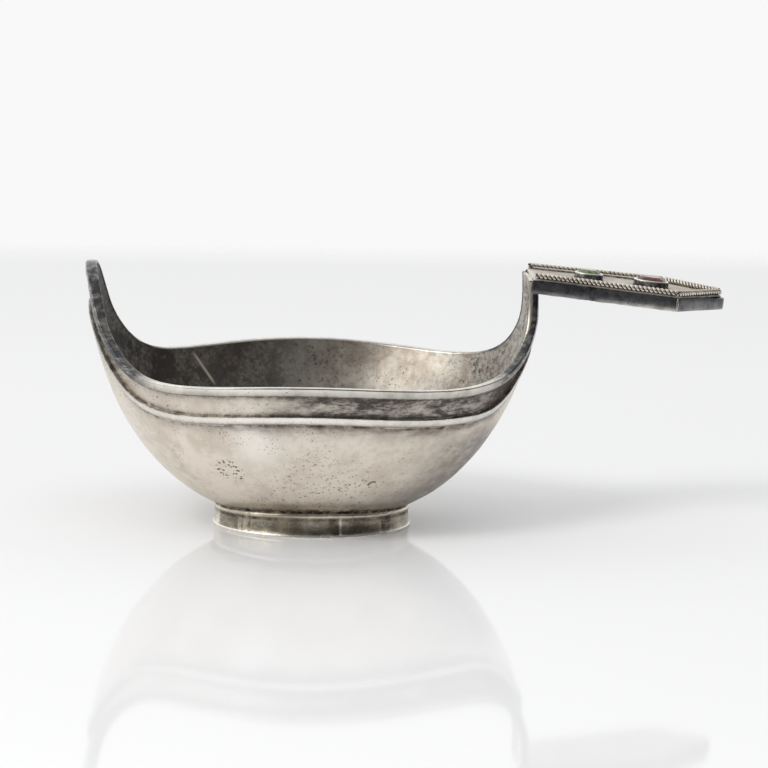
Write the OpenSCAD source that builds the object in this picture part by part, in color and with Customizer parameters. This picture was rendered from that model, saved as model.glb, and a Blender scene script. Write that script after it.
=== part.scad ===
// Silver kovsh: a boat-shaped dipper with a raised prow, a foot ring and a
// flat box handle set with two faceted stones.
// Millimetres, Z up, X from the prow (-) to the handle (+).
// The origin is on the table, under the middle of the foot ring.

/* [Bowl] */
// Half length of the bowl's sheet, at the rim
half_len = 52.1; // [49:0.1:56]
// Width of the bowl as a share of its length
width_ratio = 0.9; // [0.84:0.01:1]
// Thickness of the bowl's sheet
sheet = 0.9; // [0.7:0.1:1.2]
// Height of the tip of the prow
prow_z = 61.6; // [56:0.1:66]
// Height of the rim at its lowest
rim_z = 36.9; // [35:0.1:39]
// Extra height of the rim halfway along each side
rim_swell = 1.5; // [0:0.1:3]

/* [Rim mouldings] */
// Height of the strip along the rim
strip_h = 2.1; // [1.5:0.1:2.6]
// How far the rim strip stands out
strip_t = 1.2; // [0.7:0.1:1.4]
// Height of the lower moulding
mould_h = 1.9; // [1.2:0.1:2.4]
// How far the lower moulding stands out
mould_t = 0.8; // [0.5:0.1:1.1]
// From the rim down to the lower moulding
mould_drop = 7; // [5:0.1:8]

/* [Foot] */
// Radius of the foot ring where it stands
foot_r = 23.4; // [21:0.1:25]
// Thickness of the foot ring's strip
foot_t = 1.1; // [0.8:0.1:1.6]
// How much narrower the ring is at the bowl
foot_flare = 0.5; // [0:0.1:1.2]

/* [Handle] */
// Downward tilt of the handle plate, in degrees
tilt = 5.8; // [3:0.1:9]
// Length of the plate's straight sides
straight = 33.2; // [29:0.1:36]
// Length of the plate's point
point = 12.7; // [9:0.1:16]
// Half width of the plate at the neck
root_w = 11.8; // [11.4:0.1:12.6]
// Half width of the plate at its shoulders
shoulder_w = 15.8; // [13.5:0.1:17]
// Half width of the blunt tip of the point
tip_w = 1.2; // [0.8:0.1:2]
// Height of the handle's side strips
side_h = 3.2; // [2.6:0.1:3.8]
// Thickness of the handle's strips and bottom sheet
plate_t = 0.8; // [0.6:0.1:1]
// Thickness of the handle's top sheet
top_t = 0.4; // [0.3:0.05:0.8]
// Thickness of the twisted wire round the plate
rope_d = 1.4; // [1:0.05:1.5]

/* [Stones] */
// Distance of the green stone from the neck
green_s = 13.6; // [12:0.1:16]
// Radius of the green stone's bezel
green_r = 3.4; // [2.8:0.1:3.8]
// Distance of the red stone from the neck
red_s = 28.4; // [26:0.1:30]
// Radius of the red stone's bezel
red_r = 4.15; // [3.4:0.1:4.6]
// Height of the bezels
bezel_h = 1.7; // [1.2:0.1:2.4]

/* [Hidden] */

// Round features
round_fn = 96;
// Bowl section: bottom height, height where the walls are upright, and powers
bowl_z0 = 1.5;
wall_z = 50.4;
belly_n = 1.55;
belly_m = 2.65;
// One degree round the bowl, as a length at the rim
arc_r = 49;
// The neck: top, plane of its sheet, and the span over which it flattens
neck_z = 59.2;
neck_x = 50.5;
flat_z0 = 50;
flat_z1 = 64;
// The curve from the neck's edge to the side of the rim
curve_u = 46;
neck_u = 11.3;
curve_n = 2.83;
// Columns round half the bowl: neck top, neck curve, side and prow
top_cols = 3;
curve_cols = 10;
side_cols = 20;
rows = 15;
silver = "silver";
dark = "slategray";

// ---- Surface of the bowl -------------------------------------------------

// Half length of the bowl at height z, moved out by off
function half_len_at(z, off) =
    let (up = min(1, max(0, (wall_z - z) / (wall_z - bowl_z0 + off))))
    let (full = 1 - pow(up, belly_n))
    off * sqrt(1 - up) + half_len * pow(full, 1 / belly_m);

// Share of the round plan that is left in the neck at height z
function roundness(z) =
    let (q = min(1, max(0, (z - flat_z0) / (flat_z1 - flat_z0))))
    1 - q * q * (3 - 2 * q);

// A point on the bowl: u is the length round the rim from the handle's end,
// side is 1 or -1, off moves it out from the sheet's outer face
function on_bowl(u, z, off, side) =
    let (a = half_len_at(z, off))
    let (b = half_len_at(z, off) * width_ratio + off * (1 - width_ratio))
    let (t = u / arc_r * 180 / PI)
    let (lean = -0.22 * (1 - pow(z / 62, 2)))
    let (x = a * cos(t) + lean * min(1, a / half_len))
    let (r = t < 90 ? roundness(z) : 1)
    [r * x + (1 - r) * (neck_x + off), side * b * sin(t), z];

half_u = PI * arc_r;

// Bell curve for the prow and the back of the neck
function bell(x, wide, power) = exp(-pow(abs(x) / wide, power));

// Distance of the prow's surface from the middle plane
function prow_y(u) =
    let (t = u / arc_r * 180 / PI)
    t > 90 ? half_len * width_ratio * sin(t) : half_len * width_ratio;

function swell(u) =
    let (t = (u / arc_r * 180 / PI - 92) * 90 / 44)
    rim_swell * pow(cos(min(90, max(-90, t))), 2);

// Height of the rim along the side and up the prow
function rim_height(u) = rim_z + swell(u) + (prow_z - rim_z) * bell(prow_y(u), 19, 2.6);

// Rim points [u, z] on the curve from the neck to the side, by direction
function curve_point(dir) =
    let (r = pow(pow(cos(dir), curve_n) + pow(sin(dir), curve_n), -1 / curve_n))
    [curve_u - (curve_u - neck_u) * cos(dir) * r, neck_z - (neck_z - rim_z) * sin(dir) * r];

// Direction into the sheet, square to the rim on that curve
function curve_inward(dir) =
    let (gx = pow(cos(dir), curve_n - 1) / (curve_u - neck_u))
    let (gz = pow(sin(dir), curve_n - 1) / (neck_z - rim_z))
    [-gx, -gz] / norm([gx, gz]);

// The rim as a list of [u, z, inward u, inward z]
curve_rim = [
    for (i = [0:curve_cols])
        let (dir = 90 * i / curve_cols)
        let (p = curve_point(dir))
        let (n = curve_inward(dir))
        [p[0], p[1], n[0], n[1]]
];

// The steepness of the rim widens the strip where the prow rises
function steep(u) =
    let (slope = (rim_height(u + 0.5) - rim_height(u - 0.5)))
    sqrt(1 + slope * slope) + (u > half_u / 2 ? 0.35 * bell(prow_y(u), 5, 2) : 0);

side_rim = [
    for (i = [1:side_cols])
        let (f = i / side_cols)
        let (u = curve_u + (half_u - curve_u) * (f + 0.12 * sin(180 * f)))
        [u, rim_height(u), 0, -steep(u)]
];

rim_line = concat(curve_rim, side_rim);
rim_count = len(rim_line);

// The sheet's columns also cross the top of the neck
sheet_line = concat(
    [for (i = [0:top_cols - 1]) [neck_u * i / top_cols, neck_z]],
    [for (p = rim_line) [p[0], p[1]]]
);
sheet_cols = len(sheet_line);

// All columns round the bowl: near side, prow, far side
full_cols = 2 * sheet_cols - 2;
function column(i) = i < sheet_cols ? i : full_cols - i;
function column_side(i) = i < sheet_cols ? -1 : 1;

// Height of row k of a column: rows crowd towards the bottom of the bowl
function row_z(top, k, low) = low + (top - low) * pow(1 - k / rows, 1.7);

// The bowl as one closed sheet: outer face, inner face and rim between them
module bowl_sheet() {
    in_z0 = bowl_z0 + sheet;
    outer = [
        for (k = [0:rows - 1]) for (i = [0:full_cols - 1])
            let (c = sheet_line[column(i)])
            on_bowl(c[0], row_z(c[1], k, bowl_z0 + 0.02), 0, column_side(i))
    ];
    inner = [
        for (k = [0:rows - 1]) for (i = [0:full_cols - 1])
            let (c = sheet_line[column(i)])
            on_bowl(c[0], row_z(c[1], k, in_z0 + 0.02), -sheet, column_side(i))
    ];
    base = rows * full_cols;
    poles = [[0, 0, bowl_z0], [0, 0, in_z0]];
    function out_id(k, i) = k * full_cols + (i % full_cols);
    function in_id(k, i) = base + k * full_cols + (i % full_cols);
    last = rows - 1;
    faces = concat(
        [for (k = [0:rows - 2]) for (i = [0:full_cols - 1])
            [out_id(k, i), out_id(k + 1, i), out_id(k, i + 1)]],
        [for (k = [0:rows - 2]) for (i = [0:full_cols - 1])
            [out_id(k, i + 1), out_id(k + 1, i), out_id(k + 1, i + 1)]],
        [for (k = [0:rows - 2]) for (i = [0:full_cols - 1])
            [in_id(k, i), in_id(k, i + 1), in_id(k + 1, i)]],
        [for (k = [0:rows - 2]) for (i = [0:full_cols - 1])
            [in_id(k, i + 1), in_id(k + 1, i + 1), in_id(k + 1, i)]],
        [for (i = [0:full_cols - 1]) [out_id(0, i), out_id(0, i + 1), in_id(0, i)]],
        [for (i = [0:full_cols - 1]) [in_id(0, i), out_id(0, i + 1), in_id(0, i + 1)]],
        [for (i = [0:full_cols - 1]) [out_id(last, i), 2 * base, out_id(last, i + 1)]],
        [for (i = [0:full_cols - 1]) [in_id(last, i), in_id(last, i + 1), 2 * base + 1]]
    );
    polyhedron(points = concat(outer, inner, poles), faces = faces, convexity = 10);
}

// A closed bar through rings of points; every ring has the same count
module bar_through(rings) {
    n = len(rings[0]);
    m = len(rings);
    points = [for (ring = rings) for (p = ring) p];
    sides_a = [
        for (j = [0:m - 2]) for (i = [0:n - 1])
            [j * n + i, (j + 1) * n + i, j * n + (i + 1) % n]
    ];
    sides_b = [
        for (j = [0:m - 2]) for (i = [0:n - 1])
            [j * n + (i + 1) % n, (j + 1) * n + i, (j + 1) * n + (i + 1) % n]
    ];
    caps = [
        [for (i = [0:n - 1]) i],
        [for (i = [n - 1:-1:0]) (m - 1) * n + i]
    ];
    polyhedron(points = points, faces = concat(caps, sides_a, sides_b), convexity = 8);
}

// Section of a moulding: [share of its height, share of its thickness]
STRIP = [[0, 0], [0, 0.75], [0.15, 1], [0.85, 1], [1, 0.75], [1, 0]];
HALF_ROUND = [[0, 0], [0.07, 0.5], [0.28, 0.87], [0.5, 1], [0.72, 0.87], [0.93, 0.5], [1, 0]];

// One ring of a moulding from [u, z] at its top to [u, z] at its bottom
function moulding_ring(from, to, thick, section, side) = [
    for (s = side > 0 ? section : [for (k = [len(section) - 1:-1:0]) section[k]])
        let (p = from + (to - from) * s[0])
        on_bowl(p[0], p[1], thick * s[1], side)
];

// The rim strip thickens where it goes over the tip of the prow
function strip_thick(u) = strip_t * (1 + (u > half_u / 2 ? 0.3 * bell(prow_y(u), 13.6, 1.6) : 0));

module rim_strip(side) {
    rings = [
        for (p = rim_line)
            let (top = [p[0], p[1]])
            moulding_ring(top, top + strip_h * [p[2], p[3]], strip_thick(p[0]), STRIP, side)
    ];
    color(silver) bar_through(rings);
}

// Top edge of the lower moulding: an arch behind the neck, level sides, rising with the prow
function mould_top(u) =
    let (t = u / arc_r * 180 / PI)
    rim_z - mould_drop + swell(u)
    + (t > 90 ? (prow_z - rim_z - 2) * bell(prow_y(u), 17.3, 2.2) : 13 * bell(u, 17, 2.4));

// The lower moulding is thinner where it arches behind the neck
function mould_thick(u) = mould_t * (1 - 0.4 * bell(u, 18, 3));

mould_cols = 34;
module lower_moulding(side) {
    rings = [
        for (i = [0:mould_cols])
            let (f = i / mould_cols)
            let (u = half_u * (f - 0.03 * sin(360 * f)))
            let (slope = mould_top(u + 0.5) - mould_top(u - 0.5))
            let (tall = mould_h * sqrt(1 + slope * slope))
            moulding_ring([u, mould_top(u)], [u, mould_top(u) - tall], mould_thick(u), HALF_ROUND, side)
    ];
    color(silver) bar_through(rings);
}

// ---- Foot ------------------------------------------------------------------

// A flared strip bent into a ring, cut to the bowl that sits on it
module foot_ring() {
    top = 8;
    color(silver)
    difference() {
        rotate_extrude($fn = round_fn)
            polygon([
                [foot_r - foot_t, 0],
                [foot_r, 0],
                [foot_r, 0.5],
                [foot_r - foot_flare, top],
                [foot_r - foot_flare - foot_t, top]
            ]);
        bowl_core();
    }
}

// The lower part of the bowl as a solid, for cutting the foot ring
module bowl_core() {
    levels = [2.2, 3.2, 4.2, 5.2, 6.4, 7.8, 9.5];
    around = 48;
    rings = [
        for (z = levels) [
            for (i = [0:around - 1])
                let (a = 360 * i / around)
                on_bowl(arc_r * PI / 180 * (a <= 180 ? a : 360 - a), z, 0.02, a <= 180 ? 1 : -1)
        ]
    ];
    bar_through(rings);
}

// ---- Handle ----------------------------------------------------------------

// The handle's own frame: X along the plate from the neck, Z up from its top
module on_handle() {
    translate([neck_x + 0.4, 0, neck_z + 0.35 + top_t])
        rotate([0, tilt, 0])
            children();
}

// The plate's outline, smaller by inset all round except at the neck;
// start and short cut it back at the neck and at the tip
function plate_outline(inset, start = 0, short = 0) =
    let (w0 = root_w - inset + start * (shoulder_w - root_w) / straight)
    let (w1 = shoulder_w - inset)
    let (w2 = max(0.3, tip_w - inset * 0.5))
    let (tip = straight + point - inset - short)
    [[start, -w0], [straight, -w1], [tip, -w2], [tip, w2], [straight, w1], [start, w0]];

// The top sheet stops short of the strip at the tip, and turns down over the neck
module plate_top() {
    lap = 1.1;
    lap_w = root_w - plate_t - 0.1;
    color(silver)
        on_handle() {
            translate([0, 0, -top_t])
                linear_extrude(height = top_t)
                    polygon(plate_outline(0, 0, 0.5));
            translate([0, -lap_w, -lap])
                cube([0.6, 2 * lap_w, lap - 0.1]);
        }
}

module plate_bottom() {
    color(silver)
        on_handle()
            translate([0, 0, -top_t - side_h])
                linear_extrude(height = plate_t)
                    polygon(plate_outline(plate_t, 1.5));
}

// Long side strip, with an upright rounded end beside the neck
module side_strip(side) {
    color(dark)
        on_handle()
            translate([0, 0, -top_t - side_h])
                linear_extrude(height = side_h)
                    polygon([
                        [0, side * root_w],
                        [-0.4, side * (root_w - 0.25)],
                        [-0.5, side * (root_w - 0.45)],
                        [-0.4, side * (root_w - plate_t + 0.1)],
                        [0, side * (root_w - plate_t)],
                        [straight, side * (shoulder_w - plate_t)],
                        [straight, side * shoulder_w]
                    ]);
}

// One strip wraps the point, from shoulder to shoulder
module point_strip() {
    out = plate_outline(0);
    inn = plate_outline(plate_t);
    color(dark)
        on_handle()
            translate([0, 0, -top_t - side_h])
                linear_extrude(height = side_h)
                    polygon([
                        [out[1][0] + 0.02, out[1][1]], out[2], out[3], [out[4][0] + 0.02, out[4][1]],
                        [inn[4][0] + 0.02, inn[4][1]], inn[3], inn[2], [inn[1][0] + 0.02, inn[1][1]]
                    ]);
}

// A wire of two strands twisted together, as a bar with a turning waist
rope_pitch = 2.06;
rope_steps = 6;
module rope(from, to) {
    run = norm(to - from);
    turns = run / rope_pitch;
    count = ceil(turns * rope_steps);
    heading = atan2(to[1] - from[1], to[0] - from[0]);
    rings = [
        for (j = [0:count])
            let (f = j / count)
            let (spin = 360 * turns * f)
            [for (i = [0:7])
                let (a = 45 * i)
                let (r = rope_d / 2 * (0.82 + 0.18 * cos(2 * (a - spin))))
                [run * f, r * cos(a), r * sin(a)]]
    ];
    color(silver)
        on_handle()
            translate([from[0], from[1], rope_d / 2])
                rotate([0, 0, heading])
                    bar_through(rings);
}

rope_in = rope_d / 2;
module rope_side(side) {
    rope([0.3, side * (root_w - rope_in)], [straight - 0.6, side * (shoulder_w - rope_in - 0.05)]);
}

module rope_point(side) {
    rope(
        [straight + 0.2, side * (shoulder_w - rope_in - 0.1)],
        [straight + point - 0.6, side * (tip_w - 0.15)]
    );
}

// A plain flattened wire just inside the twisted one
module inner_wire(side) {
    inset = rope_d + 0.5;
    a = [1.2, side * (root_w - inset)];
    b = [straight - 0.4, side * (shoulder_w - inset)];
    dir = (b - a) / norm(b - a);
    across = [-dir[1], dir[0]] * 0.35;
    color(silver)
        on_handle()
            linear_extrude(height = 0.6)
                polygon([a - across, b - across, b + across, a + across]);
}

// ---- Stones ----------------------------------------------------------------

module bezel(s, r) {
    color(silver)
        on_handle()
            translate([s, 0, 0])
                rotate_extrude($fn = round_fn)
                    polygon([
                        [0, 0], [r, 0], [r - 0.1, bezel_h - 0.2], [r - 0.25, bezel_h],
                        [r - 0.5, bezel_h - 0.12], [r - 0.5, 0.5], [0, 0.5]
                    ]);
}

// A rose of flat facets round a flat table
module stone(s, r, tint) {
    girdle = r - 0.52;
    belt = bezel_h - 0.6;
    color(tint)
        on_handle()
            translate([s, 0, 0.52]) {
                cylinder(r = girdle, h = belt, $fn = 16);
                translate([0, 0, belt])
                    cylinder(r1 = girdle, r2 = girdle * 0.55, h = 0.85, $fn = 16);
            }
}

// ---- Pieces ----------------------------------------------------------------

module bowl() {
    color(silver) bowl_sheet();
}

bowl();
foot_ring();
rim_strip(-1);  // rim_strip_near
rim_strip(1);  // rim_strip_far
lower_moulding(-1);  // lower_moulding_near
lower_moulding(1);  // lower_moulding_far
plate_top();
plate_bottom();
side_strip(-1);  // side_strip_near
side_strip(1);  // side_strip_far
point_strip();
rope_side(-1);  // rope_near
rope_side(1);  // rope_far
rope_point(-1);  // rope_point_near
rope_point(1);  // rope_point_far
inner_wire(-1);  // inner_wire_near
inner_wire(1);  // inner_wire_far
bezel(green_s, green_r);  // green_bezel
stone(green_s, green_r, "seagreen");  // green_stone
bezel(red_s, red_r);  // red_bezel
stone(red_s, red_r, "darkred");  // red_stone
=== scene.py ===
import math

import bpy
import numpy as np
from mathutils import Matrix, Vector, noise


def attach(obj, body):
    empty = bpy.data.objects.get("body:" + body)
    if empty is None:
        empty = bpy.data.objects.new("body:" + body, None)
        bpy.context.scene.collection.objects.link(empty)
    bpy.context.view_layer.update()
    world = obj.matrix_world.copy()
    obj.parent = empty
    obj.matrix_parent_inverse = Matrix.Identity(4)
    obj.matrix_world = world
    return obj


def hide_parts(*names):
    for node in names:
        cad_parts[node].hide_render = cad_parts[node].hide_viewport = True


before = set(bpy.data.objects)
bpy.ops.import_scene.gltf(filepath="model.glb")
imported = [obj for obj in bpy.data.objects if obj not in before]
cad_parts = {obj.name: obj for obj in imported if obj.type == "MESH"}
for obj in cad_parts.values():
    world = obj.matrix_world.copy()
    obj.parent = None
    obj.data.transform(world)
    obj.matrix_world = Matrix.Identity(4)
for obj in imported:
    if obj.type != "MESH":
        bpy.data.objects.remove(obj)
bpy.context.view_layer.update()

MM = 0.001

# ---- The kovsh's measures, in millimetres, the same as in the CAD source ----
HALF_LEN = 52.1
WIDTH_RATIO = 0.9
SHEET = 0.9
PROW_Z = 61.6
RIM_Z = 36.9
RIM_SWELL = 1.5
STRIP_H = 2.1
STRIP_T = 1.2
MOULD_H = 1.9
MOULD_T = 0.8
MOULD_DROP = 7.0
FOOT_R = 23.4
FOOT_T = 1.1
FOOT_FLARE = 0.5
TILT = 5.8
STRAIGHT = 33.2
POINT = 12.7
ROOT_W = 11.8
SHOULDER_W = 15.8
TIP_W = 1.2
SIDE_H = 3.2
PLATE_T = 0.8
TOP_T = 0.4
ROPE_D, ROPE_PITCH = 1.4, 2.06
GREEN_S, GREEN_R = 13.6, 3.4
RED_S, RED_R = 28.4, 4.15
BEZEL_H = 1.7
BOWL_Z0 = 1.5
WALL_Z = 50.4
BELLY_N, BELLY_M = 1.55, 2.65
ARC_R = 49.0
NECK_Z, NECK_X = 59.2, 50.5
FLAT_Z0, FLAT_Z1 = 50.0, 64.0
CURVE_U, NECK_U, CURVE_N = 46.0, 11.3, 2.83
HALF_U = math.pi * ARC_R
HANDLE_X = NECK_X + 0.4
HANDLE_Z = NECK_Z + 0.35 + TOP_T

# Measures of the visual model only
RIM_CUT = 0.25
POINT_BEND = 0.8

rng = np.random.default_rng(7)


def unit(x):
    """x held between 0 and 1."""
    return np.clip(x, 0, 1)


# ---- Surface of the bowl, as in the CAD source, on arrays ----
def half_len_at(z, off):
    up = unit((WALL_Z - z) / (WALL_Z - BOWL_Z0 + off))
    full = np.maximum(1 - up ** BELLY_N, 0)
    return off * np.sqrt(1 - up) + HALF_LEN * full ** (1 / BELLY_M)


def roundness(z):
    q = unit((z - FLAT_Z0) / (FLAT_Z1 - FLAT_Z0))
    return 1 - q * q * (3 - 2 * q)


def on_bowl(u, z, off, side):
    """Points for length u round the rim, height z, off out from the sheet's outer face."""
    u, z, off = np.broadcast_arrays(*(np.asarray(v, float) for v in (u, z, off)))
    a = half_len_at(z, off)
    b = a * WIDTH_RATIO + off * (1 - WIDTH_RATIO)
    t = u / ARC_R
    lean = -0.22 * (1 - (z / 62) ** 2)
    x = a * np.cos(t) + lean * np.minimum(1, a / HALF_LEN)
    r = np.where(t < math.pi / 2, roundness(z), 1.0)
    return np.stack([r * x + (1 - r) * (NECK_X + off), side * b * np.sin(t), z], axis=-1)


def bell(x, wide, power):
    return np.exp(-(np.abs(x) / wide) ** power)


def prow_y(u):
    t = np.asarray(u, float) / ARC_R
    return HALF_LEN * WIDTH_RATIO * np.where(t > math.pi / 2, np.sin(t), 1.0)


def swell(u):
    t = (np.degrees(np.asarray(u, float) / ARC_R) - 92) * 90 / 44
    return RIM_SWELL * np.cos(np.radians(np.clip(t, -90, 90))) ** 2


def rim_height(u):
    return RIM_Z + swell(u) + (PROW_Z - RIM_Z) * bell(prow_y(u), 19.0, 2.6)


def mould_top(u):
    u = np.asarray(u, float)
    prow = (PROW_Z - RIM_Z - 2) * bell(prow_y(u), 17.3, 2.2)
    neck = 13 * bell(u, 17.0, 2.4)
    return RIM_Z - MOULD_DROP + swell(u) + np.where(u > HALF_U / 2, prow, neck)


def rim_line(curve_cols, side_cols):
    """Rim points [u, z, inward u, inward z] from the neck's corner to the prow's tip."""
    d = np.linspace(0, math.pi / 2, curve_cols + 1)
    c, s = np.cos(d), np.sin(d)
    r = (c ** CURVE_N + s ** CURVE_N) ** (-1 / CURVE_N)
    wide, tall = CURVE_U - NECK_U, NECK_Z - RIM_Z
    g = np.stack([-(c ** (CURVE_N - 1)) / wide, -(s ** (CURVE_N - 1)) / tall], -1)
    g /= np.linalg.norm(g, axis=1)[:, None]
    first = np.stack([CURVE_U - wide * c * r, NECK_Z - tall * s * r, g[:, 0], g[:, 1]], -1)
    f = np.arange(1, side_cols + 1) / side_cols
    u = CURVE_U + (HALF_U - CURVE_U) * (f + 0.12 * np.sin(math.pi * f))
    slope = rim_height(u + 0.5) - rim_height(u - 0.5)
    steep = np.sqrt(1 + slope ** 2) + np.where(u > HALF_U / 2, 0.35 * bell(prow_y(u), 5.0, 2.0), 0)
    return np.concatenate([first, np.stack([u, rim_height(u), 0 * u, -steep], -1)])


# ---- Mesh helpers ----
def add_mesh(name, points, faces, materials, node, masks, smooth=40, face_slots=None):
    """A piece from points in millimetres. masks are named values from 0 to 1 at each point."""
    mesh = bpy.data.meshes.new(name)
    mesh.from_pydata([tuple(p) for p in np.asarray(points, float) * MM], [], faces)
    mesh.validate()
    obj = bpy.data.objects.new(name, mesh)
    bpy.context.scene.collection.objects.link(obj)
    for m in materials:
        mesh.materials.append(m)
    if face_slots is not None:
        mesh.polygons.foreach_set("material_index", face_slots)
    for key, values in masks.items():
        layer = mesh.attributes.new(key, "FLOAT", "POINT")
        layer.data.foreach_set("value", np.asarray(values, np.float32))
    if smooth:
        mesh.shade_smooth()
        mesh.set_sharp_from_angle(angle=math.radians(smooth))
    mesh.update()
    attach(obj, "root")
    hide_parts(node)


def grid_faces(rows, cols, base=0, wrap=False, flip=False):
    """Quads over rows x cols points."""
    last = cols if wrap else cols - 1
    faces = []
    for j in range(rows - 1):
        for i in range(last):
            k = (i + 1) % cols
            a = base + j * cols
            quad = (a + i, a + k, a + cols + k, a + cols + i)
            faces.append(quad[::-1] if flip else quad)
    return faces


def outward(points, faces):
    """The faces turned so that the closed mesh has a positive volume."""
    p = np.asarray(points, float)
    volume = 0.0
    for f in faces:
        a = p[f[0]]
        for i in range(1, len(f) - 1):
            volume += np.dot(a, np.cross(p[f[i]], p[f[i + 1]]))
    return faces if volume > 0 else [f[::-1] for f in faces]


def joined(parts):
    """One mesh from several (points, faces)."""
    points, faces = [], []
    for more, more_faces in parts:
        faces += [tuple(i + len(points) for i in f) for f in more_faces]
        points += list(more)
    return np.array(points), faces


def sweep(rings):
    """Closed bar through rings (count, section, 3), with flat ends."""
    m, n, _ = rings.shape
    faces = grid_faces(m, n, wrap=True)
    faces.append(tuple(range(n))[::-1])
    faces.append(tuple((m - 1) * n + i for i in range(n)))
    points = rings.reshape(-1, 3)
    return points, outward(points, faces)


def wobble(points, scale, seed):
    """Smooth noise from -1 to 1 at each point; scale is the size of its features in mm."""
    shift = Vector((seed * 17.3, seed * 5.1, seed * 9.7))
    return np.array([noise.noise(Vector(p) / scale + shift) for p in points])


def wander(values, side, seed):
    """Smooth noise from -1 to 1 along a line."""
    return np.array([noise.noise(Vector((v, side, seed))) for v in values])


def section(kind):
    """Outline of a moulding in mm: depth below its top edge, and height off the sheet's outer face."""
    if kind == "rim":
        # wraps over the sheet's edge, so it reads as one rounded band
        inner, outer, tall = -SHEET - 0.1, STRIP_T, STRIP_H
        t = [inner + 0.12, inner, inner, inner + 0.07, inner + 0.3, -0.3, outer - 0.42, outer - 0.16,
             outer - 0.03, outer, outer, outer - 0.03, outer - 0.2, -0.08]
        h = [0.55, 0.5, 0.26, 0.1, 0.01, 0.0, 0.01, 0.08, 0.26, 0.5, tall - 0.42, tall - 0.16, tall, tall]
    else:
        outer, tall = MOULD_T, MOULD_H
        t = [-0.08, outer - 0.3, outer - 0.06, outer, outer + 0.02, outer, outer - 0.06, outer - 0.18,
             outer - 0.44, -0.08]
        h = [0.0, 0.02, 0.12, 0.34, 0.62, 1.0, tall - 0.45, tall - 0.2, tall - 0.03, tall]
    return np.array(h), np.array(t)


# ---- Materials ----
class Nodes:
    """Short names for the nodes of one material."""

    def __init__(self, name):
        self.mat = bpy.data.materials.new(name)
        self.mat.use_nodes = True
        self.tree = self.mat.node_tree
        self.bsdf = self.tree.nodes["Principled BSDF"]
        coord = self.add("ShaderNodeTexCoord")
        self.mm = self.vec("SCALE", coord.outputs["Object"], scale=1 / MM)

    def add(self, kind, **settings):
        node = self.tree.nodes.new(kind)
        for key, value in settings.items():
            setattr(node, key, value)
        return node

    def put(self, value, socket):
        if isinstance(value, bpy.types.NodeSocket):
            self.tree.links.new(value, socket)
        else:
            socket.default_value = value

    def vec(self, operation, a, b=None, scale=None):
        node = self.add("ShaderNodeVectorMath", operation=operation)
        self.put(a, node.inputs[0])
        if b is not None:
            self.put(b, node.inputs[1])
        if scale is not None:
            node.inputs["Scale"].default_value = scale
        return node.outputs["Value" if operation in ("DISTANCE", "DOT_PRODUCT") else "Vector"]

    def away(self, point):
        """Distance in mm from a point of the object."""
        return self.vec("DISTANCE", self.mm, point)

    def along(self, axis):
        """Place in mm along an axis of the object."""
        return self.vec("DOT_PRODUCT", self.mm, axis)

    def math(self, operation, a, b=0.0, clamp=False):
        node = self.add("ShaderNodeMath", operation=operation, use_clamp=clamp)
        self.put(a, node.inputs[0])
        self.put(b, node.inputs[1])
        return node.outputs[0]

    def times(self, a, b, clamp=False):
        return self.math("MULTIPLY", a, b, clamp)

    def plus(self, a, b, clamp=False):
        return self.math("ADD", a, b, clamp)

    def minus(self, a, b):
        return self.math("SUBTRACT", a, b)

    def most(self, a, b):
        return self.math("MAXIMUM", a, b)

    def ramp(self, value, lo, hi, out_lo=0.0, out_hi=1.0):
        node = self.add("ShaderNodeMapRange", interpolation_type="SMOOTHSTEP")
        self.put(value, node.inputs["Value"])
        for key, v in (("From Min", lo), ("From Max", hi), ("To Min", out_lo), ("To Max", out_hi)):
            node.inputs[key].default_value = v
        return node.outputs["Result"]

    def fall(self, value, lo, hi, high=1.0):
        """A ramp from high at lo down to 0 at hi."""
        return self.ramp(value, lo, hi, high, 0.0)

    def noise(self, size, detail, rough, stretch=None, offset=(0, 0, 0)):
        """Noise with features of about size mm; stretch squeezes it along the axes."""
        vector = self.mm
        if stretch is not None:
            vector = self.vec("MULTIPLY", vector, stretch)
        if offset != (0, 0, 0):
            vector = self.vec("ADD", vector, offset)
        node = self.add("ShaderNodeTexNoise")
        self.put(vector, node.inputs["Vector"])
        node.inputs["Scale"].default_value = 1 / size
        node.inputs["Detail"].default_value = detail
        node.inputs["Roughness"].default_value = rough
        return node.outputs["Fac"]

    def cells(self, size, offset):
        """Distance to the middle of the nearest cell, in cells of about size mm."""
        node = self.add("ShaderNodeTexVoronoi")
        self.put(self.vec("ADD", self.mm, offset), node.inputs["Vector"])
        node.inputs["Scale"].default_value = 1 / size
        return node.outputs["Distance"]

    def mix(self, factor, a, b):
        # a colour Mix has several sockets called A and B: the colour ones are 6 and 7
        node = self.add("ShaderNodeMix", data_type="RGBA")
        self.put(factor, node.inputs["Factor"])
        for value, k in ((a, 6), (b, 7)):
            self.put(value if isinstance(value, bpy.types.NodeSocket) else (*value, 1.0), node.inputs[k])
        return node.outputs[2]

    def mask(self, name):
        return self.add("ShaderNodeAttribute", attribute_name=name).outputs["Fac"]

    def bump(self, height, distance):
        node = self.add("ShaderNodeBump")
        node.inputs["Strength"].default_value = 1.0
        node.inputs["Distance"].default_value = distance * MM
        self.put(height, node.inputs["Height"])
        return node.outputs["Normal"]

    def finish(self, colour, rough, normal=None, metal=0.0):
        self.put(colour, self.bsdf.inputs["Base Color"])
        self.put(rough, self.bsdf.inputs["Roughness"])
        self.put(metal, self.bsdf.inputs["Metallic"])
        if normal is not None:
            self.put(normal, self.bsdf.inputs["Normal"])


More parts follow.
